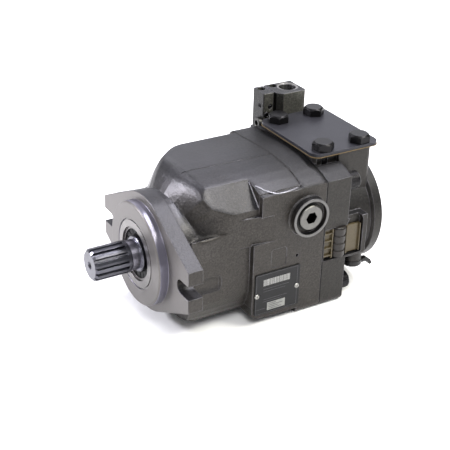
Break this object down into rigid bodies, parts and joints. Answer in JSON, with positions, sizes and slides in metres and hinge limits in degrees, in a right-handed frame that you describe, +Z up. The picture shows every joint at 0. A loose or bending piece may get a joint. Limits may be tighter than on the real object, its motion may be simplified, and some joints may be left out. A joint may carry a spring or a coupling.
{
  "type": "axial piston pump",
  "caption": "Variable axial piston pump: cast case with ear flange and pilot, splined shaft, covered inlet, top control valve.",
  "frame": {"origin": "centre of the pilot spigot where it meets the front face of the mounting flange, on the shaft axis", "axes": "+X along the shaft from the splined end to the rear cover, +Z up through the inlet cover, -Y to the side with the nameplate"},
  "size_m": [0.2951, 0.178, 0.178],
  "materials": {
    "casting": "cast iron, dark phosphated, slightly rough",
    "rubber": "nitrile rubber",
    "gasket_black": "coated gasket sheet",
    "gasket_tan": "fibre gasket sheet",
    "black_oxide": "black oxide steel",
    "shaft_steel": "hardened ground steel",
    "machined_iron": "machined iron",
    "spring_steel": "oil-tempered spring steel",
    "bearing_steel": "ground bearing steel",
    "bronze": "bronze, machined",
    "cover_paint": "blue-grey coated steel plate",
    "zinc_plate": "zinc plated",
    "plate_black": "black anodised sheet",
    "valve_black": "dark iron",
    "amber_plastic": "amber transit cover",
    "brown_plastic": "brown transit plug",
    "black_plastic": "black transit cap"
  },
  "bodies": {
    "case": {"housing": "casting", "body_gasket": "gasket_black", "port_block": "casting", "block_screws": "black_oxide", "rear_cover": "casting", "rear_cover_o_ring": "rubber", "rear_cover_screws": "black_oxide", "seal_carrier": "machined_iron", "seal_carrier_o_ring": "rubber", "shaft_seal": "rubber", "seal_snap_ring": "spring_steel", "front_bearing_outer_race": "bearing_steel", "rear_bearing_outer_race": "bearing_steel", "cradle_bearings": "bronze", "valve_plate": "bronze", "valve_plate_pin": "bearing_steel", "bias_spring": "spring_steel", "inlet_cover_plate": "cover_paint", "inlet_gasket": "gasket_tan", "inlet_cover_bolts": "black_oxide", "case_plug": "zinc_plate", "case_plug_seal": "rubber", "nameplate": "plate_black", "nameplate_rivets": "zinc_plate", "valve_body": "valve_black", "valve_gasket": "gasket_black", "valve_screws": "black_oxide", "valve_spring": "spring_steel", "valve_adjuster": "shaft_steel", "adjuster_lock_nut": "zinc_plate", "valve_side_plug": "zinc_plate", "valve_end_plug": "black_oxide", "outlet_cover": "amber_plastic", "outlet_plug": "brown_plastic", "drain_cap": "black_plastic"},
    "rotor": {"drive_shaft": "shaft_steel", "barrel": "bearing_steel", "front_bearing_inner_race": "bearing_steel", "hold_down_spring": "spring_steel", "spring_washers": "bearing_steel", "barrel_snap_ring": "spring_steel"},
    "piston_set": {"pistons": "bearing_steel", "slippers": "bronze", "slipper_retainer": "bearing_steel", "ball_guide": "bearing_steel"},
    "swash": {"swashplate": "bearing_steel"},
    "bias": {"bias_piston": "bearing_steel"},
    "control": {"control_piston": "bearing_steel"},
    "front_cage": {"front_bearing_rollers": "bearing_steel", "front_bearing_cage": "bronze"},
    "rear_cage": {"rear_bearing_rollers": "bearing_steel", "rear_bearing_cage": "bronze"},
    "spool": {"valve_spool": "bearing_steel"}
  },
  "joints": [
    {"name": "shaft_spin", "type": "hinge", "parent": "case", "child": "rotor", "pos_m": [0, 0, 0], "axis": [1, 0, 0], "continuous": true},
    {"name": "swash_tilt", "type": "hinge", "parent": "case", "child": "swash", "pos_m": [0.063, 0, 0], "axis": [0, -1, 0], "range_deg": [0, 17]},
    {"name": "piston_draw", "type": "slide", "parent": "rotor", "child": "piston_set", "axis": [1, 0, 0], "range_m": [0, 0.016]},
    {"name": "bias_slide", "type": "slide", "parent": "case", "child": "bias", "axis": [-1, 0, 0], "range_m": [0, 0.0184]},
    {"name": "control_slide", "type": "slide", "parent": "case", "child": "control", "axis": [1, 0, 0], "range_m": [0, 0.0196]},
    {"name": "front_cage_turn", "type": "hinge", "parent": "case", "child": "front_cage", "pos_m": [0.0145, 0, 0], "axis": [1, 0, 0], "continuous": true},
    {"name": "rear_cage_turn", "type": "hinge", "parent": "case", "child": "rear_cage", "pos_m": [0.174, 0, 0], "axis": [1, 0, 0], "continuous": true},
    {"name": "spool_slide", "type": "slide", "parent": "case", "child": "spool", "axis": [1, 0, 0], "range_m": [0, 0.0015], "stiffness_N_per_m": 2000, "springref_m": -0.004}
  ],
  "couplings": [
    {"joint": "piston_draw", "follows": "swash_tilt", "m_per_rad": 0.0539},
    {"joint": "bias_slide", "follows": "swash_tilt", "m_per_rad": 0.0618},
    {"joint": "control_slide", "follows": "swash_tilt", "m_per_rad": 0.0656},
    {"joint": "front_cage_turn", "follows": "shaft_spin", "ratio": 0.4303},
    {"joint": "rear_cage_turn", "follows": "shaft_spin", "ratio": 0.4348}
  ]
}
